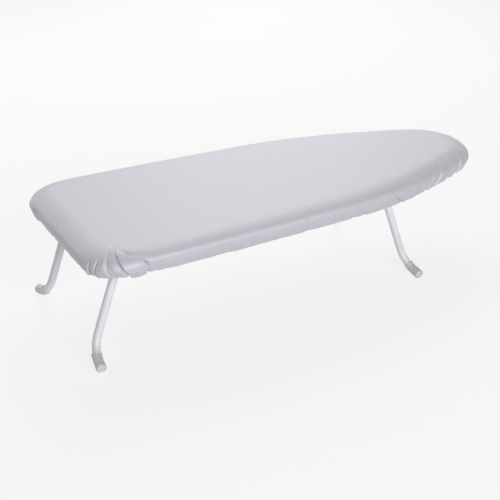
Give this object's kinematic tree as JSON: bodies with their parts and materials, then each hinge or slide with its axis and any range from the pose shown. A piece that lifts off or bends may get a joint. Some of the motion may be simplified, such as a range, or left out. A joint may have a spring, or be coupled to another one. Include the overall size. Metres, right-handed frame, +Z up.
{
  "type": "tabletop ironing board",
  "caption": "Tabletop ironing board with a rounded wide end and a tapered nose: padded cotton cover drawn in under a steel mesh top, on folding U-shaped tube legs with plastic feet.",
  "frame": {"origin": "on the table, under the middle of the board's length and width", "axes": "+X along the board towards the nose, +Y across the board to the rear, +Z up"},
  "size_m": [0.73, 0.32, 0.178],
  "materials": {
    "silver_cotton": "plain-weave cotton with a silver-grey metallised face, soft sheen",
    "elastic_band": "woven elastic",
    "pad_foam": "open-cell foam pad",
    "zinc_steel": "galvanised sheet steel",
    "rivet_steel": "zinc-plated rivet",
    "white_powder_coat": "satin white powder coat on steel tube",
    "soft_plastic": "moulded soft plastic, off-white, satin"
  },
  "bodies": {
    "board": {"cover": "silver_cotton", "hem_elastic": "elastic_band", "foam_pad": "pad_foam", "mesh_top": "zinc_steel", "rim": "zinc_steel", "rail_wide": "zinc_steel", "rail_nose": "zinc_steel", "saddle_wide_front": "zinc_steel", "saddle_wide_rear": "zinc_steel", "saddle_nose_front": "zinc_steel", "saddle_nose_rear": "zinc_steel", "rivet_wide_front_a": "rivet_steel", "rivet_wide_front_b": "rivet_steel", "rivet_wide_rear_a": "rivet_steel", "rivet_wide_rear_b": "rivet_steel", "rivet_nose_front_a": "rivet_steel", "rivet_nose_front_b": "rivet_steel", "rivet_nose_rear_a": "rivet_steel", "rivet_nose_rear_b": "rivet_steel"},
    "wide_leg": {"leg_wide": "white_powder_coat", "foot_wide_front": "soft_plastic", "foot_wide_rear": "soft_plastic"},
    "nose_leg": {"leg_nose": "white_powder_coat", "foot_nose_front": "soft_plastic", "foot_nose_rear": "soft_plastic"}
  },
  "joints": [
    {"name": "wide_leg_fold", "type": "hinge", "parent": "board", "child": "wide_leg", "pos_m": [-0.304, 0, 0.1514], "axis": [0, -1, 0], "range_deg": [0, 110]},
    {"name": "nose_leg_fold", "type": "hinge", "parent": "board", "child": "nose_leg", "pos_m": [0.1395, 0, 0.1514], "axis": [0, 1, 0], "range_deg": [0, 110]}
  ]
}
